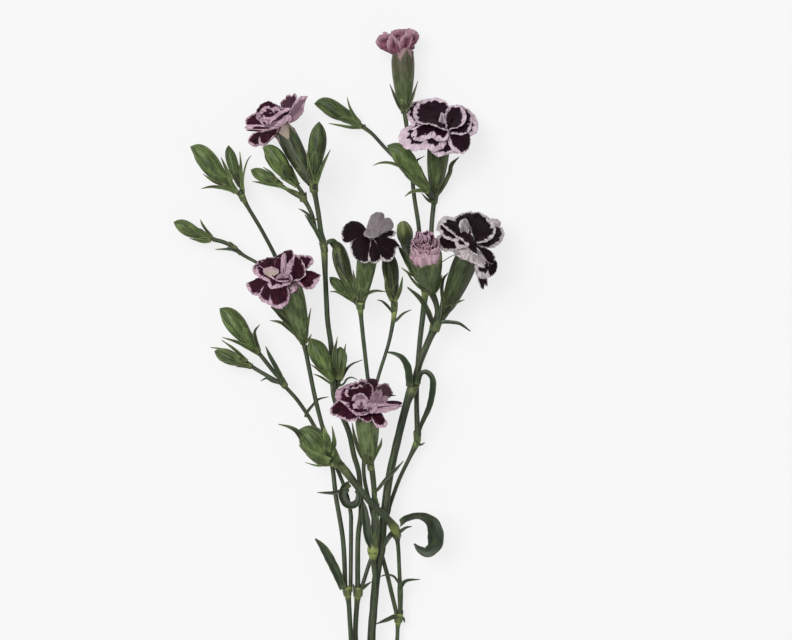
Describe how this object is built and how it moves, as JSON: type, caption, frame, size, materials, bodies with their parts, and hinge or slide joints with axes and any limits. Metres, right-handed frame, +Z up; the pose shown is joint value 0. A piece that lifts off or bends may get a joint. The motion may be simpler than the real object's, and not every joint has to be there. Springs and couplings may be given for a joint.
{
  "type": "cut dianthus plant",
  "caption": "Cut spray dianthus with ruffled picotee flowers, closed buds and narrow curled leaves on thin jointed stems, lying on a surface.",
  "frame": {"origin": "centre of the bounding box's base, on the surface the plant lies on", "axes": "+Z up from the surface, +Y along the plant from the cut base to the flowers, +X to the right when the flowers point away from the viewer"},
  "size_m": [0.1794, 0.4364, 0.0527],
  "materials": {
    "stem": "matte",
    "calyx": "matte",
    "bud": "matte",
    "leaf": "matte",
    "petal_dark": "matte",
    "petal_mauve": "matte",
    "petal_pink": "matte"
  },
  "bodies": {
    "root": {"base_stem": "stem", "stem_a_lower": "stem", "stem_b_lower": "stem", "stem_c": "stem", "stem_d_lower": "stem", "stem_a": "stem", "stem_a_left": "stem", "stem_a_side": "stem", "stem_far_left": "stem", "stem_b": "stem", "stem_b_side": "stem", "stem_b_right": "stem", "stem_t1": "stem", "stem_b2": "stem", "stem_r1": "stem", "stem_c_side": "stem", "stem_d_left": "stem", "stem_b4": "stem", "stem_b4_right": "stem", "stem_d_right": "stem", "calyx_top": "calyx", "calyx_upper_right": "calyx", "calyx_upper_left": "calyx", "calyx_centre": "calyx", "calyx_right": "calyx", "calyx_opening": "calyx", "calyx_left": "calyx", "calyx_front": "calyx", "bud_r1": "bud", "bud_r2": "bud", "bud_a": "bud", "bud_b": "bud", "bud_side_a": "bud", "bud_side_b": "bud", "bud_side_c": "bud", "bud_far_left": "bud", "bud_l1": "bud", "bud_l2": "bud", "bud_l4": "bud", "bud_m1": "bud", "bud_m2": "bud", "bud_b4_left": "bud", "bud_b4_small": "bud", "bud_b4_right": "bud", "bud_end_on": "bud", "leaf_curl": "leaf", "leaf_a": "leaf", "leaf_c_left": "leaf", "leaf_c_right": "leaf", "leaf_f_right": "leaf", "leaf_f_left": "leaf", "leaf_ring": "leaf", "corolla_top": "petal_pink", "corolla_upper_right": "petal_dark", "corolla_upper_left": "petal_mauve", "corolla_centre": "petal_dark", "corolla_right": "petal_dark", "corolla_opening": "petal_pink", "corolla_left": "petal_mauve", "corolla_front": "petal_mauve"}
  },
  "joints": []
}
